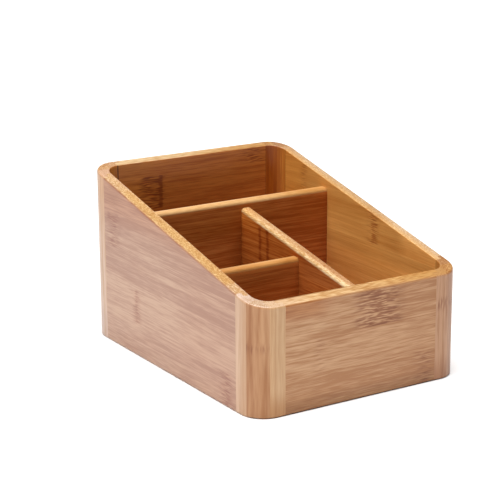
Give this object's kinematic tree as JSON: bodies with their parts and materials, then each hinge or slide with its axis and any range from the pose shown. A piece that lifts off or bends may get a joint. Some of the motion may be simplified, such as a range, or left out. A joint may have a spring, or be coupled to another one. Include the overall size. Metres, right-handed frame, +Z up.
{
  "type": "vanity organizer",
  "caption": "Open bamboo vanity organizer box with rounded corner posts, a rim that slopes down to the front, and round-topped dividers that part it into compartments.",
  "frame": {"origin": "middle of the footprint, on the surface that the box stands on", "axes": "+Z up, +Y from the low front to the high rear, +X to the right seen from the front"},
  "size_m": [0.145, 0.195, 0.11],
  "materials": {
    "wall_bamboo": "satin clear lacquer on laminated bamboo",
    "post_strip_bamboo": "satin clear lacquer on laminated bamboo",
    "post_core_bamboo": "satin clear lacquer on laminated bamboo",
    "divider_bamboo": "satin clear lacquer on laminated bamboo",
    "floor_bamboo": "satin clear lacquer on laminated bamboo"
  },
  "bodies": {
    "root": {"front_panel": "wall_bamboo", "rear_panel": "wall_bamboo", "left_panel": "wall_bamboo", "right_panel": "wall_bamboo", "floor_panel": "floor_bamboo", "rear_cross_divider": "divider_bamboo", "lengthwise_divider": "divider_bamboo", "front_cross_divider": "divider_bamboo", "front_left_post_core": "post_core_bamboo", "front_left_post_side_strip": "post_strip_bamboo", "front_left_post_front_strip": "post_strip_bamboo", "front_right_post_core": "post_core_bamboo", "front_right_post_side_strip": "post_strip_bamboo", "front_right_post_front_strip": "post_strip_bamboo", "rear_left_post_core": "post_core_bamboo", "rear_left_post_side_strip": "post_strip_bamboo", "rear_left_post_rear_strip": "post_strip_bamboo", "rear_right_post_core": "post_core_bamboo", "rear_right_post_side_strip": "post_strip_bamboo", "rear_right_post_rear_strip": "post_strip_bamboo"}
  },
  "joints": []
}
